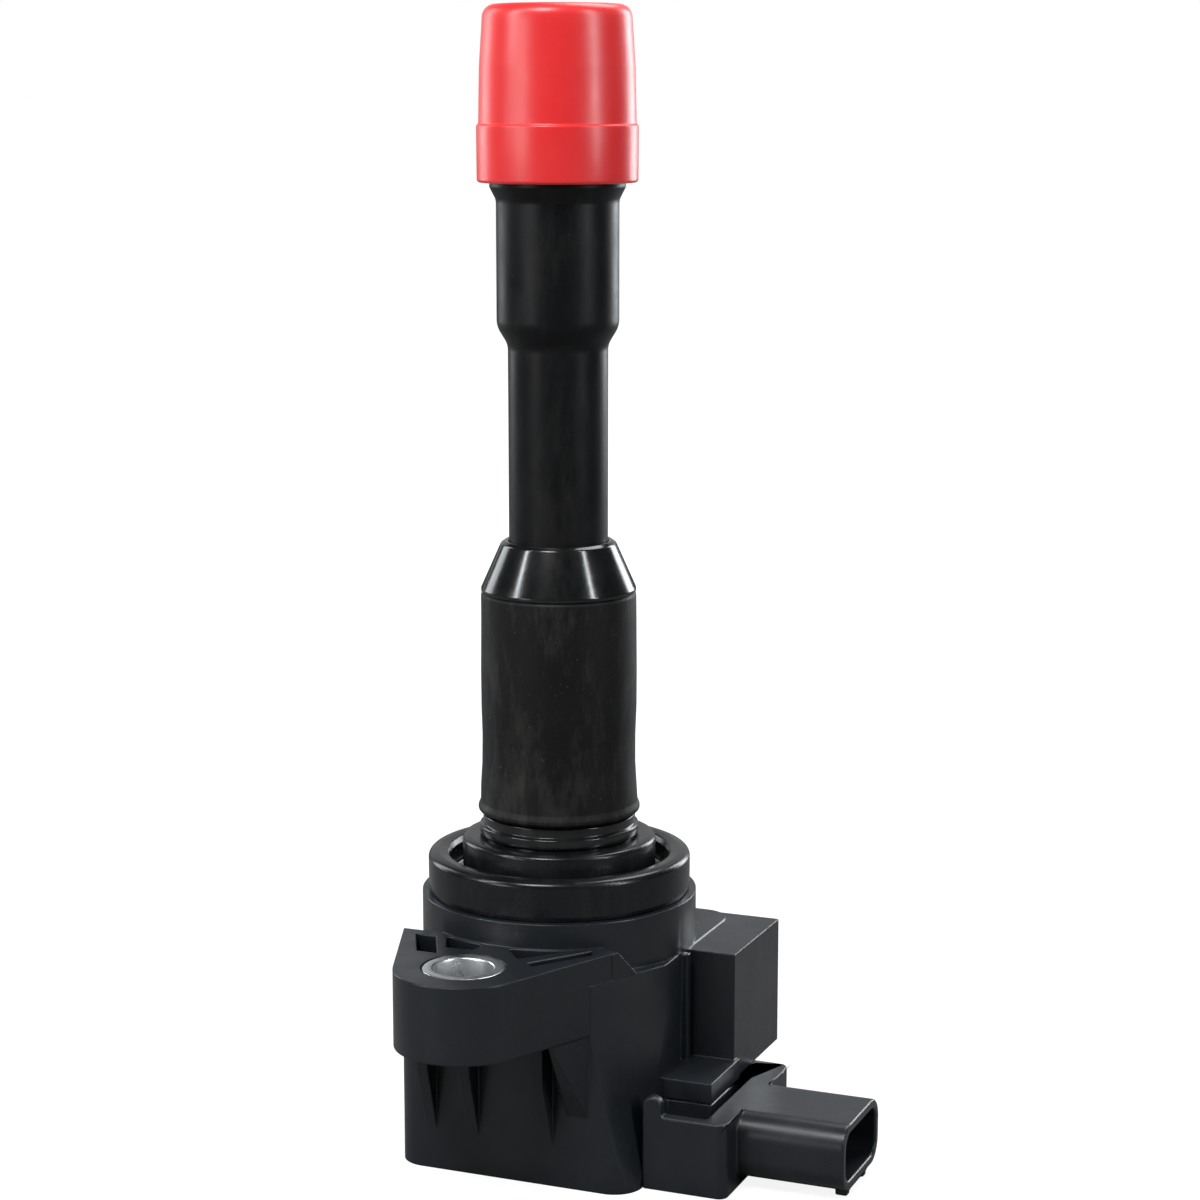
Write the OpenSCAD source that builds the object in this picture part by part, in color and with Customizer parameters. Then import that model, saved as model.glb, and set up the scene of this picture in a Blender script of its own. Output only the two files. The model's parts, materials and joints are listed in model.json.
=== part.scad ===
// Plug-top ignition coil, standing on its head with the stalk pointing up.
// Millimetres. The origin is on the stalk's axis, in the plane of the head's flat underside.
// +Z runs up the stalk, +X towards the connector, and the bolt ear is on the -Y side.

/* [Head] */
// Stalk axis to the head's left wall
head_left = 14.0; // [13.8:0.1:14.4]
// Stalk axis to the head's right wall
head_right = 16.5; // [16.3:0.1:16.8]
// Stalk axis to the head's front wall
head_front = 17.7; // [17.4:0.1:18.0]
// Stalk axis to the head's back wall
head_back = 17.0; // [16.8:0.1:17.6]
// Height of the head's flat top
head_top = 25.0; // [24.6:0.1:25.4]
// Radius of the head's upright corners
head_corner = 3.5; // [2.5:0.1:4.0]
// Thickness of the head's walls
head_wall = 1.8; // [1.6:0.1:1.9]

/* [Bolt ear] */
// Stalk axis to the bolt's axis, measured towards the front
bolt_front = 25.4; // [25.2:0.1:26.0]
// Stalk axis to the bolt's axis, measured towards the left
bolt_left = 1.1; // [0.9:0.1:1.3]
// Radius of the ear's rounded end
ear_r = 8.1; // [7.8:0.1:8.4]
// Height of the ear's seating face
ear_top = 28.1; // [27.9:0.1:28.5]
// Thickness of the ear
ear_thick = 9.1; // [8.8:0.1:9.4]
// Bore of the bolt sleeve, a clearance hole for an M6 bolt
bolt_bore_d = 7.0; // [6.6:0.1:7.2]
// Outer diameter of the bolt sleeve
sleeve_d = 9.7; // [9.4:0.1:9.8]
// Depth of the moulding pockets in the ear
pocket_depth = 5.0; // [3:0.5:6]

/* [Collar and seal] */
// Radius of the round collar on the head
collar_r = 16.65; // [16.5:0.05:16.8]
// Height of the collar's top
collar_top = 31.1; // [30.9:0.1:31.4]
// Outer radius of the plug-hole seal
seal_r = 15.9; // [15.7:0.1:16.1]
// Inner radius of the seal's outer lip
seal_lip_r = 13.2; // [13.0:0.1:13.4]
// Radius of the seal's hub
seal_hub_r = 11.7; // [11.5:0.1:11.9]
// Height of the top of the seal's outer lip
seal_lip_top = 36.0; // [35.6:0.1:36.4]
// Height of the top of the seal's hub
seal_hub_top = 37.9; // [37.6:0.1:38.1]

/* [Ignitor chamber] */
// Stalk axis to the chamber's outer face
chamber_right = 22.5; // [22.3:0.1:22.7]
// Stalk axis to the chamber's front face, behind the axis
chamber_front = 0.7; // [0.5:0.1:0.9]
// Height of the chamber's top
chamber_top = 24.8; // [24.4:0.1:25.0]

/* [Connector] */
// Height of the connector's flange
flange_top = 9.1; // [8.9:0.1:9.3]
// Stalk axis to the flange's outer face
flange_right = 26.9; // [26.6:0.1:27.2]
// Stalk axis to the flange's front face
flange_front = 14.4; // [14.2:0.1:14.8]
// Stalk axis to the flange's back face
flange_back = 8.7; // [8.4:0.1:9.0]
// Stalk axis to the open end of the shroud
shroud_end = 40.0; // [39.5:0.1:40.5]
// Width of the shroud
shroud_w = 14.0; // [13.8:0.1:14.4]
// Height of the shroud
shroud_h = 8.0; // [7.8:0.1:8.2]
// Height of the shroud's centre
shroud_z = 5.1; // [5.0:0.1:5.2]
// Distance of the shroud's centre in front of the stalk axis
shroud_front = 3.8; // [3.6:0.1:4.0]
// Spacing of the three terminals
pin_pitch = 3.6; // [3.2:0.1:3.8]

/* [Stalk] */
// Radius of the rubber sleeve round the tower
sleeve_r = 9.35; // [9.2:0.05:9.4]
// Height of the sleeve's lower edge
sleeve_low = 40.6; // [40.4:0.1:40.8]
// Height of the sleeve's upper edge
sleeve_high = 67.7; // [67.2:0.1:68.0]
// Height of the tower's mouth
tower_top = 73.9; // [73.6:0.1:74.2]
// Radius of the plug boot's narrow tube
tube_r = 5.92; // [5.8:0.02:5.94]
// Height at which the narrow tube starts to widen
tube_top = 97.0; // [96.8:0.1:97.2]
// Radius of the plug boot's tip
tip_r = 7.23; // [7.15:0.01:7.3]
// Height of the plug boot's mouth
boot_top = 125.5; // [125:0.1:126]
// Bore of the boot that grips the spark plug's insulator
plug_bore_d = 9.6; // [9.2:0.1:9.8]

/* [Shipping cap] */
// Height of the cap's lower edge
cap_low = 116.1; // [116:0.1:116.4]
// Height of the cap's top
cap_top = 136.5; // [136:0.1:137]
// Radius of the cap's skirt
skirt_r = 9.5; // [9.4:0.05:9.6]
// Height of the skirt's upper edge
skirt_top = 122.8; // [122.2:0.1:123]
// Radius of the cap just above its skirt
cap_r = 9.2; // [9.1:0.05:9.3]

/* [Hidden] */
$fn = 96;
// Gap between pieces that touch in the real coil but belong to one body
fit = 0.05;
// Gap between pieces that move past each other
clear = 0.3;

// Ear and head
ear_low = ear_top - ear_thick;
ear_left_corner = [-head_left - 0.2, -14.1];
ear_right_corner = [13.2, -13.6];
bolt_axis = [-bolt_left, -bolt_front];
slant_slope = 0.4575;
slant_angle = atan(slant_slope);
slant_start = [11.5, -head_front];
slant_lean = 10.8;
slant_foot = 18.5;
roof = head_top - head_wall;
collar_roof = collar_top - head_wall;
collar_cavity_r = 13.5;
gusset_t = 1.4;
gusset_foot = 5;
gusset_knee = 13;
web_left = 8.4;
web_foot = 9;
pad_front = 8.3;
pad_right = 22.9;
pad_top = 11.6;
chamber_wall = 1.6;
// Magnetic circuit: the coil's axis runs along Y
coil_x = 0.6;
coil_z = 12.7;
ring_x = [-11.5, 12.5];
ring_y = [-11.2, 13.8];
ring_limb = 3.6;
ring_h = 8;
bar = 5.6;
magnet_t = 1.2;
coil_front = ring_y[0] + ring_limb + 0.3;
coil_len = 15.9;
flange_t = 0.8;
primary_r = [4.1, 4.7, 5.8];
secondary_r = [6.0, 6.5, 8.3];
sections = 6;
cushion_t = 0.35;
// High-voltage stack inside the stalk
tower_base = 26.8;
tower_base_r = 10.5;
tower_neck_r = 9.2;
tower_core_r = sleeve_r - 1.7;
stack_bore_r = 3.4;
boot_low = 60.5;
boot_bore_r = 3.3;
plug_bore_low = 101.4;
terminal_top = 30.0;
resistor_low = 44.2;
resistor_high = 59.8;
resistor_r = 2.45;
end_cap_r = 2.9;
end_cap_len = 2.8;
end_cap_floor = 0.7;
spring_wire_r = 0.4;
spring_r = 2.3;
tip_seat = 96.2;
// Connector
shroud_wall = 1.1;
shroud_corner = 2.8;
shroud_floor = 1.6;
pin_end = shroud_end - 3.6;
pin_root = 17.2;
pin_w = 1.5;
pin_t = 0.64;
pocket_low = 2.2;

// Points on an arc about centre c, from angle a0 to a1
function arc(c, r, a0, a1, n = 6) = [for (i = [0:n])
    c + r * [cos(a0 + (a1 - a0) * i / n), sin(a0 + (a1 - a0) * i / n)]];

// Angle at which a line from point p touches the circle of radius r about c; side is 1 or -1
function touch(p, c, r, side) =
    let (d = p - c) atan2(d[1], d[0]) + side * acos(r / norm(d));

// Rectangle from [x0, y0] to [x1, y1] with true round corners
module round_rect(x0, y0, x1, y1, r) {
    translate([x0 + r, y0]) square([x1 - x0 - 2 * r, y1 - y0]);
    translate([x0, y0 + r]) square([x1 - x0, y1 - y0 - 2 * r]);
    for (x = [x0 + r, x1 - r], y = [y0 + r, y1 - r]) translate([x, y]) circle(r);
}

// Box from one corner to the opposite one
module block(low, high) {
    translate(low) cube(high - low);
}

// Solid of revolution from [radius, height] points
module turned(profile) {
    rotate_extrude() polygon(profile);
}

// Hollow cylinder standing at height z
module tube(r_out, r_in, z, h) {
    translate([0, 0, z]) difference() {
        cylinder(r = r_out, h = h);
        translate([0, 0, -1]) cylinder(r = r_in, h = h + 2);
    }
}

// Places a piece that is drawn along Z onto the coil's own axis, from its front end
module on_coil_axis(from = 0) {
    translate([coil_x, coil_front + from, coil_z]) rotate([-90, 0, 0]) children();
}

// Compression spring with a round wire
module spring(z0, z1, turns, wire_r = spring_wire_r, r = spring_r, sides = 8, per_turn = 12) {
    n = turns * per_turn;
    rise = z1 - z0 - 2 * wire_r;
    pts = [for (i = [0:n], j = [0:sides - 1])
        let (a = 360 * i / per_turn, b = 360 * j / sides, q = r + wire_r * cos(b))
        [q * cos(a), q * sin(a), z0 + wire_r + rise * i / n + wire_r * sin(b)]];
    skin = [for (i = [0:n - 1], j = [0:sides - 1])
        let (k = (j + 1) % sides, lo = i * sides, hi = lo + sides)
        [lo + j, hi + j, hi + k, lo + k]];
    first = [for (j = [0:sides - 1]) j];
    last = [for (j = [sides - 1:-1:0]) n * sides + j];
    polyhedron(pts, concat(skin, [first, last]), convexity = 10);
}

// Everything outside the slanted wall at the head's front right, moved inwards by inset
module beyond_slant(inset = 0) {
    far = 30;
    tall = 60;
    translate([slant_start[0], slant_start[1], 0])
        rotate([0, 0, -slant_angle])
            translate([-inset, -far, 0]) block([0, 0, 0], [far, 2 * far, tall]);
}

// The same wall below the ear, leaning out towards the foot of the head
module beyond_lean() {
    far = 30;
    translate([slant_start[0], slant_start[1], slant_foot])
        rotate([0, 0, -slant_angle]) rotate([0, -slant_lean, 0])
            block([0, -far, -far], [far, far, 0]);
}

module head_outline(inset = 0) {
    round_rect(-head_left + inset, -head_front + inset, head_right - inset, head_back - inset,
        head_corner - inset);
}

// Two corners by the collar, joined by tangent lines to the rounded end
module ear_outline() {
    left = touch(ear_left_corner, bolt_axis, ear_r, 1);
    right = touch(ear_right_corner, bolt_axis, ear_r, -1) + 360;
    polygon(concat([ear_left_corner], arc(bolt_axis, ear_r, left, right, 24),
        [ear_right_corner, [10.4, -12.4], [-8.4, -14.0]]));
}

// Moulding pockets between the bolt boss and the collar
module ear_pockets() {
    difference() {
        union() {
            polygon([[-11.9, -15.6], [-9.3, -15.6], [-6.2, -21.7], [-8.8, -21.7]]);
            polygon([[-7.9, -15.4], [-6.2, -19.3], [-2.8, -18.9], [-2.8, -15.4]]);
            polygon([[0.8, -17.2], [3.4, -20.2], [8.2, -14.8]]);
            polygon([[4.9, -21.3], [6.1, -22.3], [10.9, -15.6], [10.1, -14.2]]);
        }
        circle(collar_r + 0.3);
    }
}

// Triangular web under the ear: reach is how far it stands off the front wall
module gusset(x, reach) {
    translate([x, -head_front, 0]) rotate([90, 0, -90]) linear_extrude(gusset_t)
        polygon([[-1, gusset_foot - 2], [0, gusset_foot], [reach, gusset_knee],
            [reach, ear_low + 1], [-1, ear_low + 1]]);
}

// Web under the ear's right side: its outer face carries the ear's side down to the front wall
module ear_web() {
    reach = 5.4;
    intersection() {
        translate([-0.14, 0, web_foot - 3]) linear_extrude(ear_low - web_foot + 3.6) ear_outline();
        translate([web_left + 5, -head_front, 0]) rotate([90, 0, -90]) linear_extrude(5)
            polygon([[-1, web_foot - 2], [0, web_foot], [reach, ear_low], [reach, ear_low + 1],
                [-1, ear_low + 1]]);
    }
}

// Small ramp that leads from the ear's right corner down to the head's top, along the slanted wall
module ear_ramp() {
    start = norm(ear_right_corner - slant_start);
    run = 2.9;
    thick = 1.6;
    translate([slant_start[0], slant_start[1], 0]) rotate([0, 0, -slant_angle])
        translate([-thick - 0.03, 0, 0]) rotate([90, 0, 90]) linear_extrude(thick)
            polygon([[start - 1, head_top - 1], [start + run, head_top - 1], [start + run, head_top],
                [start, ear_top - 0.05], [start - 1, ear_top - 0.05]]);
}

module housing() {
    sleeve_seat_r = sleeve_d / 2 + 0.02;
    color([0.10, 0.11, 0.12]) difference() {
        union() {
            difference() {
                linear_extrude(head_top) head_outline();
                translate([0, 0, slant_foot]) beyond_slant();
                beyond_lean();
            }
            translate([0, 0, ear_low]) linear_extrude(ear_thick) ear_outline();
            translate([0, 0, ear_low]) cylinder(r = collar_r, h = collar_top - ear_low);
            block([head_right - 6, chamber_front, flange_top + fit], [chamber_right, head_back, chamber_top]);
            block([head_right - 1, -pad_front, flange_top + fit], [pad_right, chamber_front + 1, pad_top]);
            block([head_right - 1, chamber_front - 2.2, pad_top - 1], [head_right + 0.8, chamber_front - 1.2,
                chamber_top]);
            gusset(-head_left + 5.6, 2.4);
            gusset(-2.9, 2.6);
            gusset(6.6, 3.0);
            ear_web();
            ear_ramp();
        }
        // Main cavity, open underneath
        difference() {
            translate([0, 0, -1]) linear_extrude(roof + 1) head_outline(head_wall);
            translate([0, 0, -1]) beyond_slant(head_wall);
        }
        translate([0, 0, roof - 1]) cylinder(r = collar_cavity_r, h = collar_roof - roof + 1);
        // Ignitor chamber, open towards the cavity and the connector
        block([head_right - head_wall - 1, chamber_front + chamber_wall, flange_top + chamber_wall],
            [chamber_right - chamber_wall, head_back - head_wall, chamber_top - chamber_wall]);
        block([head_right + 0.2, chamber_front + chamber_wall, flange_top - 1],
            [chamber_right - chamber_wall, flange_back - 0.7, flange_top + 2]);
        // Round holes for the tower and the bolt sleeve
        cylinder(r = tower_neck_r - 0.2, h = collar_top + 1);
        translate([bolt_axis[0], bolt_axis[1], ear_low - 1]) cylinder(r = sleeve_seat_r, h = ear_thick + 2);
        translate([0, 0, ear_top - pocket_depth]) linear_extrude(pocket_depth + 1) ear_pockets();
    }
}

module bolt_sleeve() {
    bevel = 0.3;
    r_out = sleeve_d / 2;
    r_in = bolt_bore_d / 2;
    color([0.80, 0.81, 0.82]) translate([bolt_axis[0], bolt_axis[1], ear_low])
        turned([[r_in, 0], [r_out - bevel, 0], [r_out, bevel], [r_out, ear_thick - bevel],
            [r_out - bevel, ear_thick], [r_in, ear_thick]]);
}

// Blade from its root inside the flange to its free end in the shroud, with an upturned solder tab
module terminal(index) {
    y = -shroud_front + (index - 1) * pin_pitch;
    tab = 1.2;
    color([0.78, 0.62, 0.32]) {
        block([pin_root, y - pin_w / 2, shroud_z - pin_t / 2], [pin_end, y + pin_w / 2, shroud_z + pin_t / 2]);
        block([pin_root, y - pin_w / 2, shroud_z], [pin_root + pin_t, y + pin_w / 2, shroud_z + tab]);
    }
}

module terminal_power() terminal(0);
module terminal_ground() terminal(1);
module terminal_signal() terminal(2);

module shroud_outline(inset = 0) {
    round_rect(-shroud_w / 2 + inset, -shroud_h / 2 + inset, shroud_w / 2 - inset, shroud_h / 2 - inset,
        shroud_corner - inset);
}

// Turns an outline drawn in [width, height] to face along +X at distance x
module along_x(x, length) {
    translate([x, -shroud_front, shroud_z]) rotate([90, 0, 90]) linear_extrude(length) children();
}

module connector_body() {
    left = head_right + fit;
    hook_w = 2.3;
    hook_d = 1.5;
    groove_low = 7.0;
    groove_right = 24.0;
    hook_h = 1.1;
    rib_w = 1.2;
    color([0.09, 0.10, 0.11]) difference() {
        union() {
            linear_extrude(flange_top) round_rect(left, -flange_front, flange_right, flange_back, 1.2);
            block([left, -flange_front, 0], [left + 3, flange_back, flange_top]);
            along_x(flange_right - 1, shroud_end - flange_right + 1) shroud_outline();
            // Rounded hook at the front left of the flange
            block([left, -flange_front, flange_top - 1], [left + hook_w, -flange_front + hook_d,
                flange_top + hook_h]);
            translate([left + hook_w / 2, -flange_front, flange_top + hook_h])
                rotate([-90, 0, 0]) cylinder(r = hook_w / 2, h = hook_d);
            // Locking ribs under the open end
            for (y = [-shroud_front - 4.4, -shroud_front + 2.0])
                block([shroud_end - 1.8, y, 0.2], [shroud_end - 0.3, y + rib_w, shroud_z - shroud_h / 2 + 0.4]);
        }
        along_x(flange_right + shroud_floor, shroud_end) shroud_outline(shroud_wall);
        // Pocket for the leads, narrower above the groove's floor
        block([left + 0.5, -shroud_front - 5.4, pocket_low], [left + 4, flange_back - 0.7, groove_low - 0.6]);
        block([left + 0.5, -shroud_front - 4.05, pocket_low], [left + 4, flange_back - 0.7, flange_top + 1]);
        // Groove in front of the housing's pad and along its right side
        block([left + 0.8, -flange_front + 1.5, groove_low], [groove_right, -pad_front + 0.05, flange_top + 1]);
        block([pad_right + 0.05, -flange_front + 1.5, groove_low], [groove_right, flange_back - 1.2,
            flange_top + 1]);
        for (index = [0:2]) {
            y = -shroud_front + (index - 1) * pin_pitch;
            block([pin_root, y - pin_w / 2 - fit, shroud_z - pin_t / 2 - fit],
                [shroud_end, y + pin_w / 2 + fit, shroud_z + pin_t / 2 + fit]);
        }
    }
}

module ignitor_module() {
    color([0.07, 0.07, 0.08]) difference() {
        block([15.4, 3.6, 11.5], [19.2, 14.2, 21.2]);
        // Moulded dimple that marks the first lead
        translate([15.1, 12.4, 19.4]) rotate([0, 90, 0]) cylinder(r = 0.8, h = 0.7);
    }
}

module ignitor_plate() {
    color([0.72, 0.45, 0.30]) difference() {
        block([19.25, 3.2, flange_top + chamber_wall + 0.1], [20.6, 14.6, 22.6]);
        translate([19, 8.9, 21.9]) rotate([0, 90, 0]) cylinder(r = 0.5, h = 2);
    }
}

// Three leads that step sideways, one above the other, from the terminals' tabs to the module
module ignitor_leads() {
    t = 0.5;
    w = 0.6;
    x = pin_root + pin_t + fit;
    color([0.75, 0.74, 0.70]) for (index = [0:2]) {
        low_y = -shroud_front + (index - 1) * pin_pitch;
        high_y = 3.9 + index * 1.7;
        knee = shroud_z + 1.3 + (2 - index) * 0.9;
        block([x, low_y - w / 2, shroud_z + pin_t], [x + t, low_y + w / 2, knee + w]);
        block([x, low_y - w / 2, knee], [x + t, high_y + w / 2, knee + w]);
        block([x, high_y - w / 2, knee], [x + t, high_y + w / 2, 11.5 - fit]);
    }
}

module center_core() {
    color([0.45, 0.46, 0.48])
        block([coil_x - bar / 2, ring_y[0] + ring_limb + fit, coil_z - bar / 2],
            [coil_x + bar / 2, ring_y[1] - ring_limb - magnet_t - 2 * fit, coil_z + bar / 2]);
}

module core_magnet() {
    color([0.35, 0.36, 0.38])
        block([coil_x - bar / 2, ring_y[1] - ring_limb - magnet_t - fit, coil_z - bar / 2],
            [coil_x + bar / 2, ring_y[1] - ring_limb - fit, coil_z + bar / 2]);
}

// Closed rectangular ring of laminated steel
module outer_core() {
    low = coil_z - ring_h / 2;
    high = coil_z + ring_h / 2;
    color([0.42, 0.43, 0.45]) difference() {
        block([ring_x[0], ring_y[0], low], [ring_x[1], ring_y[1], high]);
        block([ring_x[0] + ring_limb, ring_y[0] + ring_limb, low - 1],
            [ring_x[1] - ring_limb, ring_y[1] - ring_limb, high + 1]);
    }
}

// Soft band round the outer core that takes up shrinkage of the potting
module core_cushion() {
    low = coil_z - ring_h / 2;
    high = coil_z + ring_h / 2;
    out = cushion_t + fit;
    color([0.25, 0.25, 0.24]) difference() {
        block([ring_x[0] - out, ring_y[0] + 2, low], [ring_x[1] + out, ring_y[1] + out, high]);
        block([ring_x[0] - fit, ring_y[0], low - 1], [ring_x[1] + fit, ring_y[1] + fit, high + 1]);
    }
}

module primary_bobbin() {
    color([0.85, 0.82, 0.74]) on_coil_axis() {
        tube(primary_r[1], primary_r[0], 0, coil_len);
        tube(primary_r[2], primary_r[0], 0, flange_t);
        tube(primary_r[2], primary_r[0], coil_len - flange_t, flange_t);
    }
}

module primary_winding() {
    color([0.72, 0.36, 0.16]) on_coil_axis()
        tube(primary_r[2] - 0.1, primary_r[1] + fit, flange_t + fit, coil_len - 2 * flange_t - 2 * fit);
}

// Sectioned bobbin: thin flanges divide the fine winding to hold off its voltage
module secondary_bobbin() {
    step = (coil_len - flange_t) / sections;
    color([0.20, 0.20, 0.22]) on_coil_axis() {
        tube(secondary_r[1], secondary_r[0], 0, coil_len);
        for (i = [0:sections]) tube(secondary_r[2], secondary_r[0], i * step, flange_t);
    }
}

module secondary_winding() {
    step = (coil_len - flange_t) / sections;
    color([0.62, 0.26, 0.12]) on_coil_axis() for (i = [0:sections - 1])
        tube(secondary_r[2] - 0.3, secondary_r[1] + fit, i * step + flange_t + fit, step - flange_t - 2 * fit);
}

module hv_diode() {
    color([0.08, 0.08, 0.09]) translate([-6.5, -13.6, coil_z]) rotate([0, 90, 0]) {
        cylinder(r = 1.3, h = 7);
        translate([0, 0, -2]) cylinder(r = 0.35, h = 11);
    }
}

module hv_terminal() {
    color([0.80, 0.66, 0.35]) turned([[0, 21.2], [1.6, 21.2], [1.6, 21.8], [0.8, 21.8], [0.8, 27.4], [2.8, 27.4],
        [2.8, terminal_top], [2.2, terminal_top], [2.2, 28.0], [0, 28.0]]);
}

module potting_layer() {
    depth = 2.0;
    color([0.05, 0.05, 0.05]) difference() {
        linear_extrude(depth) head_outline(head_wall + fit);
        translate([0, 0, -1]) beyond_slant(head_wall + fit);
    }
}

module hv_tower() {
    base_top = collar_roof - fit;
    lip_r = 0.55;
    mouth_r = tube_r + 0.4;
    cone_r = sleeve_r - 0.05;
    color([0.06, 0.06, 0.07]) difference() {
        turned(concat(
            [[stack_bore_r, tower_base], [tower_base_r, tower_base], [tower_base_r, base_top],
                [tower_neck_r - 0.25, base_top], [tower_neck_r - 0.25, seal_hub_top + 0.3],
                [tower_neck_r + 0.4, seal_hub_top + 0.3], [tower_neck_r + 0.4, seal_hub_top + 1.4],
                [tower_neck_r, seal_hub_top + 1.7], [tower_neck_r, sleeve_low - fit],
                [tower_core_r, sleeve_low - fit], [tower_core_r, sleeve_high + fit],
                [cone_r, sleeve_high + fit], [cone_r, sleeve_high + 0.3]],
            arc([mouth_r, tower_top - lip_r], lip_r, 25, 90),
            [[stack_bore_r, tower_top]]));
        translate([0, 0, boot_low - fit]) cylinder(r = tube_r + fit, h = tower_top);
    }
}

module tower_sleeve() {
    r_in = tower_core_r + fit;
    bead_r = sleeve_r + 0.43;
    color([0.09, 0.08, 0.08]) turned(concat(
        [[r_in, sleeve_low]],
        arc([bead_r - 0.5, sleeve_low + 0.5], 0.5, -90, 60),
        [[sleeve_r + 0.2, sleeve_low + 1.7], [sleeve_r + 0.08, sleeve_low + 4.2],
            [sleeve_r - 0.11, sleeve_low + 8.0], [sleeve_r + 0.03, sleeve_low + 14.0],
            [sleeve_r - 0.04, sleeve_high - 0.3], [sleeve_r - 0.3, sleeve_high], [r_in, sleeve_high]]));
}

// U-shaped grommet: a hub that grips the tower, a floor and an outer lip
module plug_hole_seal() {
    r_in = tower_neck_r - 0.15;
    low = collar_top + 0.02;
    floor_z = collar_top + 1.6;
    lip_mid = (seal_r + seal_lip_r) / 2;
    lip_half = (seal_r - seal_lip_r) / 2;
    hub_edge = 0.9;
    color([0.07, 0.07, 0.08]) turned(concat(
        [[r_in, low], [seal_r - 0.3, low], [seal_r, low + 0.3]],
        arc([lip_mid, seal_lip_top - lip_half], lip_half, 0, 180, 10),
        [[seal_lip_r, floor_z], [seal_hub_r, floor_z]],
        arc([seal_hub_r - hub_edge, seal_hub_top - hub_edge], hub_edge, 0, 90),
        [[r_in, seal_hub_top]]));
}

module lower_spring() {
    color([0.70, 0.70, 0.72]) spring(terminal_top - 1.9, resistor_low - fit, 7, 0.35, 1.7);
}

module end_cap(z, up) {
    color([0.78, 0.78, 0.76]) translate([0, 0, z]) mirror([0, 0, up ? 0 : 1]) difference() {
        cylinder(r = end_cap_r, h = end_cap_len);
        translate([0, 0, end_cap_floor]) cylinder(r = resistor_r + fit, h = end_cap_len);
    }
}

module resistor_cap_lower() end_cap(resistor_low, true);
module resistor_cap_upper() end_cap(resistor_high, false);

module noise_resistor() {
    color([0.90, 0.88, 0.82]) translate([0, 0, resistor_low + end_cap_floor + fit])
        cylinder(r = resistor_r, h = resistor_high - resistor_low - 2 * end_cap_floor - 2 * fit);
}

module contact_spring() {
    color([0.72, 0.72, 0.74]) spring(resistor_high + fit, tip_seat - fit, 15);
}

// Cup that the spring presses against the spark plug's terminal
module contact_tip() {
    color([0.82, 0.70, 0.42]) turned([[0, tip_seat - 3.0], [1.3, tip_seat - 3.0], [1.5, tip_seat - 2.6],
        [1.5, tip_seat], [2.9, tip_seat], [2.9, tip_seat + 0.8], [2.4, tip_seat + 1.0], [2.4, tip_seat + 4.2],
        [2.0, tip_seat + 4.8], [1.2, tip_seat + 4.8], [0.9, tip_seat + 4.2], [0, tip_seat + 4.2]]);
}

module plug_boot() {
    flare_r = 8.0;
    cone_slope = 44;
    round_r = 1.9;
    hollow_r = 0.9;
    plug_r = plug_bore_d / 2;
    shoulder = tube_top + 3.7;
    color([0.06, 0.06, 0.07]) turned(concat(
        [[boot_bore_r, boot_low], [tube_r, boot_low], [tube_r, tube_top - 0.3]],
        arc([tube_r + hollow_r, tube_top - 0.1], hollow_r, 180, 180 - cone_slope, 4),
        arc([tip_r - round_r, shoulder - 0.4], round_r, -cone_slope, 0, 6),
        [[tip_r, cap_low - 2.1]],
        arc([tip_r + 1.3, cap_low - 1.9], 1.3, 180, 120, 5),
        [[flare_r, cap_low - 0.3], [flare_r, boot_top - 0.8], [flare_r - 0.8, boot_top],
            [plug_r + 0.8, boot_top], [plug_r, boot_top - 1.2], [plug_r, plug_bore_low],
            [boot_bore_r, plug_bore_low]]));
}

module shipping_cap() {
    wall = 1.1;
    inner_r = 8.0 + clear;
    upper_r = 7.5;
    top_r = 8.8;
    corner = 2.2;
    color([0.93, 0.13, 0.14]) turned(concat(
        [[inner_r, cap_low], [skirt_r - 0.3, cap_low], [skirt_r, cap_low + 0.3], [skirt_r, skirt_top - 0.4],
            [skirt_r - 0.3, skirt_top], [cap_r, skirt_top], [cap_r - 0.1, skirt_top + 6.4],
            [top_r + 0.05, skirt_top + 9.4]],
        arc([top_r - corner, cap_top - corner], corner, 0, 90, 8),
        [[0, cap_top], [0, cap_top - wall], [upper_r, cap_top - wall], [upper_r, boot_top + clear],
            [inner_r, boot_top + clear]]));
}

housing();
bolt_sleeve();
connector_body();
terminal_power();
terminal_ground();
terminal_signal();
ignitor_module();
ignitor_plate();
ignitor_leads();
center_core();
outer_core();
core_magnet();
core_cushion();
primary_bobbin();
primary_winding();
secondary_bobbin();
secondary_winding();
hv_diode();
hv_terminal();
potting_layer();
hv_tower();
tower_sleeve();
plug_hole_seal();
lower_spring();
resistor_cap_lower();
noise_resistor();
resistor_cap_upper();
contact_spring();
contact_tip();
plug_boot();
shipping_cap();
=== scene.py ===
import json
import math

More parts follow.
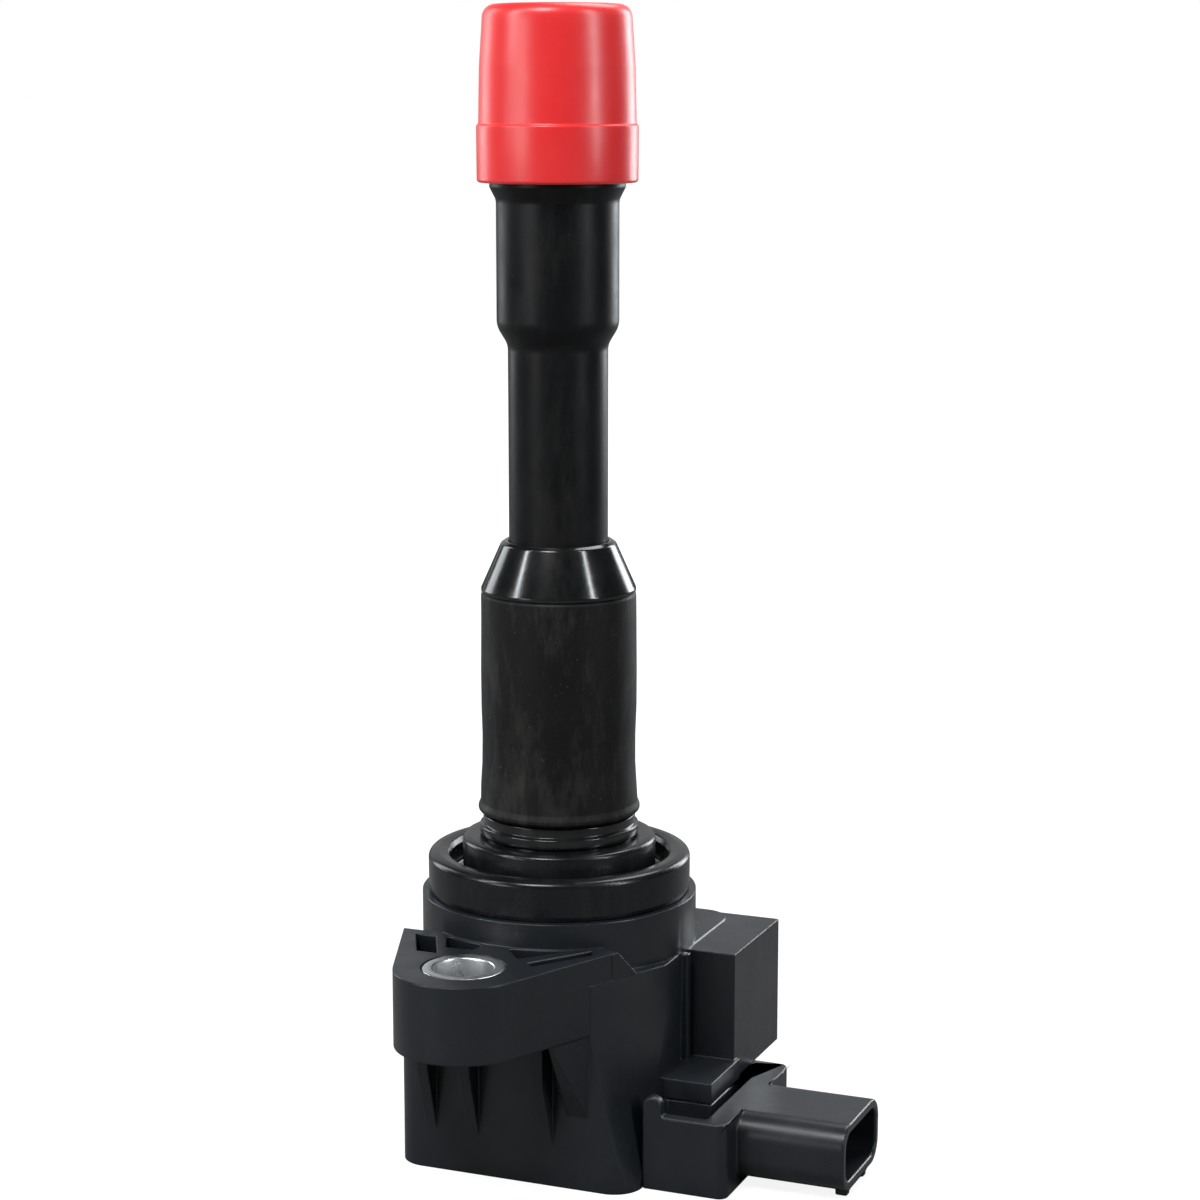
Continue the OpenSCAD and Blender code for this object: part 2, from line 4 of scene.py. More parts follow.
import bmesh
import bpy
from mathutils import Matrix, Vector


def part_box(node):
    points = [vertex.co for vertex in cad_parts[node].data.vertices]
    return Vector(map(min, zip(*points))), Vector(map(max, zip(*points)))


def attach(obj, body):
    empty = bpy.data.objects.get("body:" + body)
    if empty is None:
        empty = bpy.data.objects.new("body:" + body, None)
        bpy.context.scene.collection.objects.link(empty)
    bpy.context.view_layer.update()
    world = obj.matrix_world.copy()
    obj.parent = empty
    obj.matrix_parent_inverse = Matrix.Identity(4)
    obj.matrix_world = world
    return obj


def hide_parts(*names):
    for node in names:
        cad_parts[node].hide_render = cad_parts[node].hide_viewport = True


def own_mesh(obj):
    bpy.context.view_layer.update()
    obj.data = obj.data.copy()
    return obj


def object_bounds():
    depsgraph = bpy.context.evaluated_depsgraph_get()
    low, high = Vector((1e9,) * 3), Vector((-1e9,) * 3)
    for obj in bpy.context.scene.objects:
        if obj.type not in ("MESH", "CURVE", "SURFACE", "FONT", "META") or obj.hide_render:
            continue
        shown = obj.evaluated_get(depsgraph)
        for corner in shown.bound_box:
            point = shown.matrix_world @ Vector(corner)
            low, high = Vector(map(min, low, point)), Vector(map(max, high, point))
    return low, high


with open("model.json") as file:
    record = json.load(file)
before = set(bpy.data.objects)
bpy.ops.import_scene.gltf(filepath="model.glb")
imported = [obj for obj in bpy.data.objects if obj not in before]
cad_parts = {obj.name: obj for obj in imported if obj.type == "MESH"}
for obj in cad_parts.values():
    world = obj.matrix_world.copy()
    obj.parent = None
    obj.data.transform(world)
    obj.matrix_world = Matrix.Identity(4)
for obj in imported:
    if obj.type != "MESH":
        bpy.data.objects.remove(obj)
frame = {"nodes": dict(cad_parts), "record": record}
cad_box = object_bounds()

# Looks of the plug-top ignition coil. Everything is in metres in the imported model's frame:
# the origin is on the stalk's axis, +Z runs up the stalk, +X points to the connector.

MM = 0.001
NODES = frame["nodes"]
RECORD = frame["record"]
MOUNTS = {mount["name"]: mount for mount in RECORD["mounts"]}
LATHE_STEPS = 144                   # facets round a large turned piece
SMALL_STEPS = 64                    # and round a small one
CORNER_STEPS = 6                    # facets over a rounded corner
WELD_GAP = 0.000004                 # CAD corners nearer than this are one corner
COOL = (0.93, 0.97, 1.0)            # tint of the soft boxes
BODY_OF = {node: body for body, nodes in RECORD["behaviour"]["bodies"].items() for node in nodes}
SLOT_OF = {part["node"]: part["material_slot"] for part in RECORD["subparts"]}


# ---------------------------------------------------------------- camera, lights and floor

VIEW_TURN = math.radians(22.3)      # the camera stands this far round from the front, towards the connector
VIEW_PITCH = math.radians(10.15)    # and looks down by this much
VIEW_LENS = 85.3
VIEW_DISTANCE = 335.4 * MM          # level distance from the stalk's axis
VIEW_ASIDE = 4.95 * MM              # the axis stands this far left of the picture's middle
VIEW_HEIGHT = 126.6 * MM
SENSOR_WIDTH = 36.0


def on_stage(turn, distance, aside=0.0):
    """Point at a level distance from the axis, at this angle from the front, moved aside to the right."""
    ahead = Vector((math.sin(turn), -math.cos(turn), 0)) * distance
    right = Vector((math.cos(turn), math.sin(turn), 0)) * aside
    return ahead + right


def add_camera():
    data = bpy.data.cameras.new("camera")
    data.lens = VIEW_LENS
    data.sensor_width = SENSOR_WIDTH
    data.clip_start = 0.01
    camera = bpy.data.objects.new("camera", data)
    bpy.context.scene.collection.objects.link(camera)
    camera.location = on_stage(VIEW_TURN, VIEW_DISTANCE, VIEW_ASIDE) + Vector((0, 0, VIEW_HEIGHT))
    camera.rotation_euler = (math.radians(90) - VIEW_PITCH, 0, VIEW_TURN)
    bpy.context.scene.camera = camera


def add_strip(name, turn, distance, low, high, width, watts):
    """Tall soft box that stands this many degrees round from the camera and faces the stalk."""
    data = bpy.data.lights.new(name, "AREA")
    data.shape = "RECTANGLE"
    data.size = width
    data.size_y = high - low
    data.energy = watts
    data.color = COOL
    light = bpy.data.objects.new(name, data)
    bpy.context.scene.collection.objects.link(light)
    heading = VIEW_TURN + math.radians(turn)
    light.location = on_stage(heading, distance) + Vector((0, 0, (low + high) / 2))
    light.rotation_euler = (math.radians(90), 0, heading)


def add_overhead(name, turn, distance, height, aim_height, size, watts):
    """Round soft light, this many radians round from the camera, aimed at a point on the axis."""
    data = bpy.data.lights.new(name, "AREA")
    data.shape = "DISK"
    data.size = size
    data.energy = watts
    light = bpy.data.objects.new(name, data)
    bpy.context.scene.collection.objects.link(light)
    place = on_stage(VIEW_TURN + turn, distance) + Vector((0, 0, height))
    light.location = place
    light.rotation_euler = (Vector((0, 0, aim_height)) - place).to_track_quat("-Z", "Y").to_euler()


def add_lights():
    """Two narrow strips for the long highlights, two for the edges, a backdrop and three soft lights."""
    add_strip("strip_right", turn=57, distance=0.62, low=0.10, high=0.80, width=0.040, watts=3.4)
    add_strip("strip_left", turn=-70, distance=0.62, low=0.20, high=0.85, width=0.040, watts=3.4)
    add_strip("edge_right", turn=138, distance=0.80, low=0.0, high=0.5, width=0.26, watts=3.8)
    add_strip("edge_left", turn=-128, distance=0.80, low=0.0, high=0.6, width=0.26, watts=2.5)
    add_strip("backdrop", turn=180, distance=0.95, low=0.08, high=0.60, width=1.2, watts=1.1)
    add_overhead("key_front", turn=-0.5, distance=0.55, height=0.9, aim_height=0.06, size=0.35, watts=8.0)
    add_overhead("low_front", turn=-0.9, distance=0.9, height=0.16, aim_height=0.02, size=0.3, watts=1.6)
    add_overhead("top_soft", turn=2.6, distance=0.45, height=0.75, aim_height=0.03, size=0.5, watts=4.0)


def seen_or_lit(tree, seen, lit):
    """One value where the camera looks straight at a thing, and another for every other ray."""
    path = tree.nodes.new("ShaderNodeLightPath")
    level = tree.nodes.new("ShaderNodeMapRange")
    level.inputs["To Min"].default_value = lit
    level.inputs["To Max"].default_value = seen
    tree.links.new(path.outputs["Is Camera Ray"], level.inputs["Value"])
    return level.outputs["Result"]


def add_world():
    """Pale surround: white where it is seen directly, dim as a source of light."""
    world = bpy.data.worlds.new("studio")
    bpy.context.scene.world = world
    world.use_nodes = True
    tree = world.node_tree
    background = tree.nodes["Background"]
    background.inputs["Color"].default_value = (1, 1, 1, 1)
    tree.links.new(seen_or_lit(tree, 1.0, 0.02), background.inputs["Strength"])


def add_floor():
    """Large pale floor, brightened for the camera so that only the shadow of the foot shows on it."""
    bm = bmesh.new()
    bmesh.ops.create_grid(bm, x_segments=24, y_segments=24, size=40.0)
    for v in bm.verts:
        v.co.z = cad_box[0][2]
    mesh = bpy.data.meshes.new("floor")
    bm.to_mesh(mesh)
    bm.free()
    floor = bpy.data.objects.new("floor", mesh)
    bpy.context.scene.collection.objects.link(floor)
    material, tree, shader = new_material("floor_white")
    shader.inputs["Roughness"].default_value = 0.9
    shader.inputs["Specular IOR Level"].default_value = 0.0
    shade = ramp(tree, noise(tree, 3.0, 2), [(0.3, (0.17, 0.17, 0.17)), (0.7, (0.18, 0.18, 0.18))])
    tree.links.new(shade, shader.inputs["Base Color"])
    # Painted glow, seen only by the camera: 0.88 of white within 5 cm of the axis, rising to full white at
    # half a metre, where the lamps light the floor less; near the axis the foot's real shadow still darkens
    # it.
    reach = tree.nodes.new("ShaderNodeVectorMath")
    reach.operation = "LENGTH"
    tree.links.new(coordinates(tree), reach.inputs[0])
    glow = spread(tree, reach.outputs["Value"], 0.05, 0.5, 0.88, 1.0)
    shader.inputs["Emission Color"].default_value = (1, 1, 1, 1)
    tree.links.new(times(tree, seen_or_lit(tree, 1.0, 0.0), glow), shader.inputs["Emission Strength"])
    mesh.materials.append(material)


# ---------------------------------------------------------------- material building blocks

def new_material(name):
    material = bpy.data.materials.new(name)
    material.use_nodes = True
    tree = material.node_tree
    return material, tree, tree.nodes["Principled BSDF"]


def coordinates(tree, stretch=(1, 1, 1)):
    """Object coordinates in metres, stretched so that a pattern runs along one direction."""
    source = tree.nodes.new("ShaderNodeTexCoord")
    mapping = tree.nodes.new("ShaderNodeMapping")
    mapping.inputs["Scale"].default_value = stretch
    tree.links.new(source.outputs["Object"], mapping.inputs["Vector"])
    return mapping.outputs["Vector"]


def noise(tree, scale, detail=3, rough=0.5, stretch=(1, 1, 1)):
    """Cloudy pattern from 0 to 1, with this many cells to the metre."""
    node = tree.nodes.new("ShaderNodeTexNoise")
    node.inputs["Scale"].default_value = scale
    node.inputs["Detail"].default_value = detail
    node.inputs["Roughness"].default_value = rough
    tree.links.new(coordinates(tree, stretch), node.inputs["Vector"])
    return node.outputs["Fac"]


def spread(tree, value, low, high, out_low, out_high):
    """A value carried from one range to another and held at its ends."""
    node = tree.nodes.new("ShaderNodeMapRange")
    node.inputs["From Min"].default_value = low
    node.inputs["From Max"].default_value = high
    node.inputs["To Min"].default_value = out_low
    node.inputs["To Max"].default_value = out_high
    tree.links.new(value, node.inputs["Value"])
    return node.outputs["Result"]


def times(tree, a, b):
    node = tree.nodes.new("ShaderNodeMath")
    node.operation = "MULTIPLY"
    tree.links.new(a, node.inputs[0])
    tree.links.new(b, node.inputs[1])
    return node.outputs[0]


def ramp(tree, value, stops):
    node = tree.nodes.new("ShaderNodeValToRGB")
    elements = node.color_ramp.elements
    while len(elements) < len(stops):
        elements.new(0.5)
    for element, (place, colour) in zip(elements, stops):
        element.position = place
        element.color = (*colour, 1)
    tree.links.new(value, node.inputs["Fac"])
    return node.outputs["Color"]


def mix(tree, amount, a, b):
    """Colour b laid over colour a; each is a socket or an (r, g, b) value."""
    node = tree.nodes.new("ShaderNodeMix")
    node.data_type = "RGBA"
    for socket, value in (("A", a), ("B", b)):
        target = [i for i in node.inputs if i.name == socket and i.type == "RGBA"][0]
        if isinstance(value, tuple):
            target.default_value = (*value, 1)
        else:
            tree.links.new(value, target)
    tree.links.new(amount, node.inputs["Factor"])
    return [o for o in node.outputs if o.type == "RGBA"][0]


def edge_radius(tree, radius):
    """Normal that rounds every sharp edge by a small radius in metres."""
    node = tree.nodes.new("ShaderNodeBevel")
    node.samples = 8
    node.inputs["Radius"].default_value = radius
    return node.outputs["Normal"]


def add_bump(tree, shader, layers, normal=None):
    """Stacks bump layers of (height, distance in metres, strength) onto the shader."""
    for height, distance, strength in layers:
        node = tree.nodes.new("ShaderNodeBump")
        node.inputs["Distance"].default_value = distance
        node.inputs["Strength"].default_value = strength
        tree.links.new(height, node.inputs["Height"])
        if normal is not None:
            tree.links.new(normal, node.inputs["Normal"])
        normal = node.outputs["Normal"]
    tree.links.new(normal, shader.inputs["Normal"])


def moulded(name, dark, light, rough, gloss, grain, depth, dust=0.0, dust_colour=(0.2, 0.19, 0.17)):
    """Moulded plastic or rubber: mottled colour, uneven gloss, a fine grain and a little dust.
    rough is the low and high roughness, gloss the specular level, grain the texture's scale."""
    material, tree, shader = new_material(name)
    shader.inputs["Specular IOR Level"].default_value = gloss
    colour = ramp(tree, noise(tree, 90, 5, 0.6), [(0.3, dark), (0.72, light)])
    if dust > 0:
        streak = spread(tree, noise(tree, 300, 6, 0.7, (1, 1, 0.3)), 0.48, 0.85, 0.0, dust)
        lint = spread(tree, noise(tree, 2600, 2, 0.5), 0.70, 0.78, 0.0, dust * 1.5)
        colour = mix(tree, streak, colour, dust_colour)
        colour = mix(tree, lint, colour, dust_colour)
    tree.links.new(colour, shader.inputs["Base Color"])
    wear = noise(tree, 140, 6, 0.7)
    tree.links.new(spread(tree, wear, 0.35, 0.68, rough[0], rough[1]), shader.inputs["Roughness"])
    fine = noise(tree, grain, 3, 0.6)
    broad = noise(tree, 160, 3, 0.5)
    add_bump(tree, shader, [(broad, 0.00002, 0.2), (fine, depth, 0.4)])
    return material


def black_nylon():
    """Glass-filled nylon of the head: satin, with a fine spark-eroded grain and faint flow marks."""
    material, tree, shader = new_material("black_nylon")
    shader.inputs["Specular IOR Level"].default_value = 0.36
    flow = noise(tree, 70, 5, 0.62, (1, 1, 0.55))
    colour = ramp(tree, flow, [(0.32, (0.0075, 0.0092, 0.0115)), (0.70, (0.0120, 0.0142, 0.0172))])
    scuff = spread(tree, noise(tree, 900, 3, 0.6), 0.66, 0.80, 0.0, 0.07)
    colour = mix(tree, scuff, colour, (0.09, 0.095, 0.10))
    tree.links.new(colour, shader.inputs["Base Color"])
    wear = noise(tree, 190, 6, 0.7)
    tree.links.new(spread(tree, wear, 0.32, 0.70, 0.27, 0.40), shader.inputs["Roughness"])
    layers = [(noise(tree, 120, 3, 0.5), 0.00008, 0.22), (noise(tree, 2600, 2, 0.5), 0.000012, 0.35)]
    add_bump(tree, shader, layers, edge_radius(tree, 0.00028))
    return material


def red_polythene():
    """Waxy red shipping cap: slightly translucent, cloudy, with soft highlights."""
    material, tree, shader = new_material("red_plastic")
    cloud = noise(tree, 60, 4, 0.55)
    colour = ramp(tree, cloud, [(0.30, (0.66, 0.019, 0.022)), (0.75, (0.76, 0.036, 0.037))])
    tree.links.new(colour, shader.inputs["Base Color"])
    haze = noise(tree, 220, 5, 0.65)
    tree.links.new(spread(tree, haze, 0.20, 0.80, 0.29, 0.39), shader.inputs["Roughness"])
    shader.inputs["Specular IOR Level"].default_value = 0.55
    shader.inputs["Subsurface Weight"].default_value = 0.12
    shader.inputs["Subsurface Radius"].default_value = (1.0, 0.12, 0.10)
    shader.inputs["Subsurface Scale"].default_value = 0.0012
    shader.inputs["Sheen Weight"].default_value = 0.22
    shader.inputs["Sheen Roughness"].default_value = 0.4
    shader.inputs["Sheen Tint"].default_value = (1.0, 0.35, 0.33, 1)
    broad = noise(tree, 130, 2, 0.5)
    fine = noise(tree, 900, 3, 0.6)
    add_bump(tree, shader, [(broad, 0.00006, 0.10), (fine, 0.000008, 0.12)])
    return material


def metal(name, colour, rough, brushed=(1, 1, 1), scratches=0.5, scale=1500):
    """Metal with machining or drawing marks that run along the direction squeezed in brushed."""
    material, tree, shader = new_material(name)
    shader.inputs["Metallic"].default_value = 1.0
    marks = noise(tree, scale, 4, 0.6, brushed)
    darker = tuple(c * 0.78 for c in colour)
    tree.links.new(ramp(tree, marks, [(0.3, darker), (0.7, colour)]), shader.inputs["Base Color"])
    tree.links.new(spread(tree, marks, 0.3, 0.7, rough * 0.75, rough * 1.3), shader.inputs["Roughness"])
    add_bump(tree, shader, [(marks, 0.00002, scratches)])
    return material


def make_materials():
    """One material for each slot of the record."""
    made = {
        "black_nylon": black_nylon(),
        "red_plastic": red_polythene(),
        "sleeve_rubber": moulded(
            "sleeve_rubber", dark=(0.0028, 0.0028, 0.0030), light=(0.0048, 0.0047, 0.0050),
            rough=(0.50, 0.66), gloss=0.17, grain=1800, depth=0.00003, dust=0.16),
        "tower_plastic": moulded(
            "tower_plastic", dark=(0.004, 0.0045, 0.005), light=(0.007, 0.0075, 0.008),
            rough=(0.13, 0.22), gloss=0.45, grain=1500, depth=0.000006, dust=0.06),
        "seal_rubber": moulded(
            "seal_rubber", dark=(0.0035, 0.0038, 0.0046), light=(0.006, 0.0064, 0.0075),
            rough=(0.20, 0.32), gloss=0.30, grain=1600, depth=0.000006, dust=0.05),
        "boot_rubber": moulded(
            "boot_rubber", dark=(0.0024, 0.0027, 0.0033), light=(0.0040, 0.0044, 0.0052),
            rough=(0.34, 0.46), gloss=0.18, grain=1700, depth=0.00001, dust=0.06),
        "cushion_rubber": moulded(
            "cushion_rubber", dark=(0.05, 0.05, 0.048), light=(0.09, 0.09, 0.085), rough=(0.7, 0.85),
            gloss=0.3, grain=1500, depth=0.00004),
        "moulding_compound": moulded(
            "moulding_compound", dark=(0.012, 0.012, 0.013), light=(0.022, 0.022, 0.024),
            rough=(0.55, 0.7), gloss=0.4, grain=2200, depth=0.00003),
        "epoxy": moulded(
            "epoxy", dark=(0.006, 0.006, 0.007), light=(0.011, 0.011, 0.012), rough=(0.12, 0.24),
            gloss=0.5, grain=500, depth=0.00002, dust=0.2),
        "bobbin_plastic": moulded(
            "bobbin_plastic", dark=(0.58, 0.54, 0.44), light=(0.70, 0.66, 0.56), rough=(0.4, 0.5),
            gloss=0.5, grain=1500, depth=0.00002),
        "bobbin_dark": moulded(
            "bobbin_dark", dark=(0.03, 0.03, 0.034), light=(0.05, 0.05, 0.055), rough=(0.4, 0.5),
            gloss=0.5, grain=1500, depth=0.00002),
        "ceramic": moulded(
            "ceramic", dark=(0.72, 0.68, 0.58), light=(0.82, 0.79, 0.70), rough=(0.5, 0.65), gloss=0.4,
            grain=1200, depth=0.00002),
        "aluminium": metal(
            "aluminium", colour=(0.90, 0.91, 0.92), rough=0.30, brushed=(1, 1, 0.4), scratches=0.08,
            scale=260),
        "tinned_brass": metal(
            "tinned_brass", colour=(0.80, 0.70, 0.48), rough=0.26, brushed=(0.15, 1, 1), scratches=0.3),
        "copper_plate": metal(
            "copper_plate", colour=(0.80, 0.46, 0.30), rough=0.30, brushed=(1, 0.15, 1), scratches=0.3),
        "lead_metal": metal(
            "lead_metal", colour=(0.74, 0.73, 0.70), rough=0.28, brushed=(1, 1, 0.2), scratches=0.25),
        "core_steel": metal(
            "core_steel", colour=(0.40, 0.41, 0.43), rough=0.38, brushed=(1, 1, 6), scratches=0.7),
        "magnet": metal(
            "magnet", colour=(0.22, 0.22, 0.24), rough=0.55, brushed=(1, 1, 1), scratches=0.6),
        "enamelled_wire": metal(
            "enamelled_wire", colour=(0.66, 0.26, 0.09), rough=0.30, brushed=(1, 5, 1), scratches=0.8),
        "fine_wire": metal(
            "fine_wire", colour=(0.54, 0.19, 0.07), rough=0.34, brushed=(1, 8, 1), scratches=0.6),
        "spring_steel": metal(
            "spring_steel", colour=(0.70, 0.70, 0.72), rough=0.22, brushed=(1, 1, 0.3), scratches=0.3),
    }
    return made


# ---------------------------------------------------------------- mesh building blocks

def corner(p, q, r, radius):
    """Points that round the corner q between p and r, each a (radius, height) pair."""
    a = (Vector(p) - Vector(q)).normalized()
    b = (Vector(r) - Vector(q)).normalized()
    half = math.acos(max(-1.0, min(1.0, a.dot(b)))) / 2
    if radius <= 0 or abs(math.pi / 2 - half) < 0.01:
        return [tuple(q)]
    reach = radius / math.tan(half)
    reach = min(reach, (Vector(p) - Vector(q)).length * 0.49, (Vector(r) - Vector(q)).length * 0.49)
    bow = reach * math.tan(half)
    centre = Vector(q) + (a + b).normalized() * bow / math.sin(half)
    start = Vector(q) + a * reach - centre
    end = Vector(q) + b * reach - centre
    turn = math.atan2(start.x * end.y - start.y * end.x, start.dot(end))
    points = []
    for i in range(CORNER_STEPS + 1):
        angle = turn * i / CORNER_STEPS
        c, s = math.cos(angle), math.sin(angle)
        points.append((centre.x + start.x * c - start.y * s, centre.y + start.x * s + start.y * c))
    return points


def rounded(outline):
    """Closed outline from (radius, height, rounding) corners, all in millimetres."""
    points = []
    count = len(outline)
    for i, (x, y, radius) in enumerate(outline):
        before = outline[i - 1][:2]
        after = outline[(i + 1) % count][:2]
        points += corner(before, (x, y), after, radius)
    return points


def piece(name, bm, body, slot, stands_for, materials, smooth_angle=35):
    """Turns a bmesh in metres into a finished piece on its body."""
    bmesh.ops.recalc_face_normals(bm, faces=bm.faces)
    mesh = bpy.data.meshes.new(name)
    bm.to_mesh(mesh)
    bm.free()
    obj = bpy.data.objects.new(name, mesh)
    bpy.context.scene.collection.objects.link(obj)
    mesh.materials.append(materials[slot])
    mesh.shade_smooth()
    mesh.set_sharp_from_angle(angle=math.radians(smooth_angle))
    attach(obj, body)
    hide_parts(stands_for)
    return obj


def lathe(profile, steps=LATHE_STEPS, centre=(0, 0), wobble=None):
    """Closed outline of (radius, height) points in millimetres, turned about an upright axis."""
    bm = bmesh.new()
    rings = []
    for radius, height in profile:
        if radius < 1e-6:
            rings.append([bm.verts.new((centre[0] * MM, centre[1] * MM, height * MM))])
            continue
        ring = []
        for i in range(steps):
            angle = 2 * math.pi * i / steps
            r = radius + (wobble(angle, height, radius) if wobble else 0)
            ring.append(bm.verts.new(((centre[0] + r * math.cos(angle)) * MM,
                                      (centre[1] + r * math.sin(angle)) * MM, height * MM)))
        rings.append(ring)
    for ring, following in zip(rings, rings[1:] + rings[:1]):
        if len(ring) == 1 and len(following) == 1:
            continue
        for i in range(steps):
            j = (i + 1) % steps
            if len(ring) == 1:
                bm.faces.new((ring[0], following[j], following[i]))
            elif len(following) == 1:
                bm.faces.new((ring[i], ring[j], following[0]))
            else:
                bm.faces.new((ring[i], ring[j], following[j], following[i]))
    return bm


def heights(node):
    """Lowest and highest point of a CAD node, in millimetres."""
    low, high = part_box(node)
    return low.z / MM, high.z / MM


def outer_radius(node):
    """Half of a turned node's width, in millimetres."""
    low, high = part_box(node)
    return (high.x - low.x) / 2 / MM


def softened(node, name, width, materials, clamp=False):
    """The CAD solid with its flat faces joined up and every sharp edge given a moulded radius in
    millimetres. With clamp the radius shrinks wherever a short edge leaves no room for it."""
    bm = bmesh.new()
    bm.from_mesh(NODES[node].data)
    bmesh.ops.remove_doubles(bm, verts=bm.verts, dist=WELD_GAP)
    bmesh.ops.dissolve_limit(bm, angle_limit=math.radians(1.5), verts=bm.verts, edges=bm.edges)
    bmesh.ops.recalc_face_normals(bm, faces=bm.faces)
    obj = piece(name, bm, BODY_OF[node], SLOT_OF[node], node, materials)
    bevel = obj.modifiers.new("moulded_edges", "BEVEL")
    bevel.width = width * MM
    bevel.segments = 3
    bevel.limit_method = "ANGLE"
    bevel.angle_limit = math.radians(28)
    bevel.use_clamp_overlap = clamp
    bevel.miter_outer = "MITER_ARC"
    even = obj.modifiers.new("even_shading", "WEIGHTED_NORMAL")
    even.keep_sharp = False
    return obj


# ---------------------------------------------------------------- the pieces

def make_cap(materials):
    """Red cap: a drawn-in body over a straight skirt, with a soft step between them."""
    low, high = heights("shipping_cap")
    skirt = outer_radius("shipping_cap")
    step = low + 6.7
    body = skirt - 0.30
    shoulder = skirt - 0.68
    mouth = 8.32
    hollow = 7.5
    inside = heights("plug_boot")[1] + 0.32
    ceiling = high - 1.1
    outline = [
        (mouth, low, 0.25), (skirt - 0.05, low, 0.40), (skirt, step - 0.15, 0.25),
        (body + 0.04, step + 0.10, 0.30), (body - 0.10, step + 6.6, 2.0),
        (shoulder + 0.08, step + 9.6, 2.0), (shoulder, high - 3.0, 0.4), (shoulder - 0.15, high, 2.15),
        (0.0, high, 0.0), (0.0, ceiling, 0.0),
        (hollow, ceiling, 1.2), (hollow, inside, 0.2), (mouth, inside, 0.2),
    ]
    return piece("red_cap", lathe(rounded(outline)), "cap", "red_plastic", "shipping_cap", materials)


def make_boot(materials):
    """Rubber plug boot: narrow tube, rounded shoulder, straight tip and flared mouth."""
    low, high = heights("plug_boot")
    cap_low = heights("shipping_cap")[0]
    tube, tip, mouth = 5.92, 7.23, outer_radius("plug_boot")
    neck = 97.2
    narrow_bore = 3.3
    socket = MOUNTS["plug_socket"]
    plug_bore = socket["dims"]["r_mm"]
    floor = socket["pos_m"][2] / MM - socket["dims"]["length_mm"] / 2
    outline = [
        (narrow_bore, low, 0.0), (tube - 0.02, low, 0.3), (tube, neck, 2.4), (tip, neck + 2.15, 2.9),
        (tip, cap_low - 2.3, 0.3), (tip + 0.06, cap_low - 1.9, 1.2), (mouth, cap_low - 0.5, 0.6),
        (mouth, high, 0.6), (plug_bore + 0.4, high, 0.9), (plug_bore, high - 1.4, 0.5),
        (plug_bore, floor, 0.4), (narrow_bore, floor, 0.3),
    ]
    return piece("rubber_boot", lathe(rounded(outline)), "coil", "boot_rubber", "plug_boot", materials)


def make_tower(materials):
    """Glossy tower whose coned mouth shows above the rubber sleeve, with its stepped neck below."""
    low, high = heights("hv_tower")
    sleeve_low, sleeve_high = heights("tower_sleeve")
    base = outer_radius("hv_tower")
    hub_top = heights("plug_hole_seal")[1]
    base_top = low + 2.45
    stem, ring, waist, cone, tube = 8.95, 9.60, 9.2, 9.30, 7.65
    bore, boot_bore, bore_floor = 3.4, 5.98, 60.5
    under_sleeve, over_sleeve = sleeve_low - 0.05, sleeve_high + 0.05
    outline = [
        (bore, low, 0), (base, low, 0.3), (base, base_top, 0.3), (stem, base_top, 0.1),
        (stem, hub_top + 0.28, 0.05), (ring, hub_top + 0.28, 0.15), (ring, hub_top + 1.35, 0.14),
        (waist + 0.02, hub_top + 1.62, 0.12), (waist, under_sleeve, 0.1), (tube, under_sleeve, 0),
        (tube, over_sleeve, 0), (cone, over_sleeve, 0.12), (cone - 0.02, sleeve_high + 0.5, 0.25),
        (6.90, high - 0.35, 0.45), (6.42, high, 0.35), (boot_bore, high, 0.25),
        (boot_bore, bore_floor, 0), (bore, bore_floor, 0),
    ]
    return piece("stalk_tower", lathe(rounded(outline)), "coil", "tower_plastic", "hv_tower", materials)


def make_sleeve(materials):
    """Matt rubber sleeve: drawn in at its waist, with a rolled bead at its lower edge."""
    low, high = heights("tower_sleeve")
    bead = outer_radius("tower_sleeve")
    inside = 7.72

    def hand_made(angle, height, radius):
        """Rubber is never quite round: a few hundredths of a millimetre of slow waves."""
        if radius < 8.5 or height > high - 1 or height < low + 2:
            return 0
        return 0.025 * math.sin(3 * angle + height * 0.21) + 0.015 * math.sin(5 * angle - height * 0.37)

    outline = [
        (inside, low, 0.1), (8.9, low, 0.2), (9.35, low + 0.28, 0.3), (bead, low + 0.45, 0.35),
        (bead, low + 0.95, 0.4), (9.50, low + 1.6, 0.6), (9.42, low + 3.6, 1.0), (9.26, low + 6.2, 2.0),
        (9.24, low + 9.6, 2.0),
        (9.36, low + 13.2, 2.0), (9.38, low + 17.5, 2.0), (9.32, high - 3.0, 2.0), (9.31, high - 0.35, 0.3),
        (9.10, high, 0.25), (inside, high, 0.1),
    ]
    return piece("rubber_sleeve", lathe(rounded(outline), wobble=hand_made), "coil", "sleeve_rubber",
                 "tower_sleeve", materials, smooth_angle=60)


def make_seal(materials):
    """U-shaped grommet: hub, groove and outer lip with a full round top."""
    low, high = heights("plug_hole_seal")
    outside = outer_radius("plug_hole_seal")
    lip_top = 36.0
    lip_in = 13.2
    hub = 11.7
    hole = 9.05
    groove_floor = low + 1.6
    outline = [
        (hole, low, 0), (outside - 0.15, low, 0.25), (outside - 0.02, low + 0.6, 0.4),
        (outside, lip_top - 0.25, 0.85), (outside - 1.25, lip_top, 1.2),
        (lip_in + 0.4, lip_top - 0.15, 0.45), (lip_in, lip_top - 0.8, 0.4),
        (lip_in + 0.05, groove_floor, 0.5), (hub, groove_floor, 0.5),
        (hub, high - 0.15, 0.65), (hub - 0.9, high, 0.8), (hole, high, 0.2),
    ]
    return piece("hole_seal", lathe(rounded(outline)), "coil", "seal_rubber", "plug_hole_seal", materials)


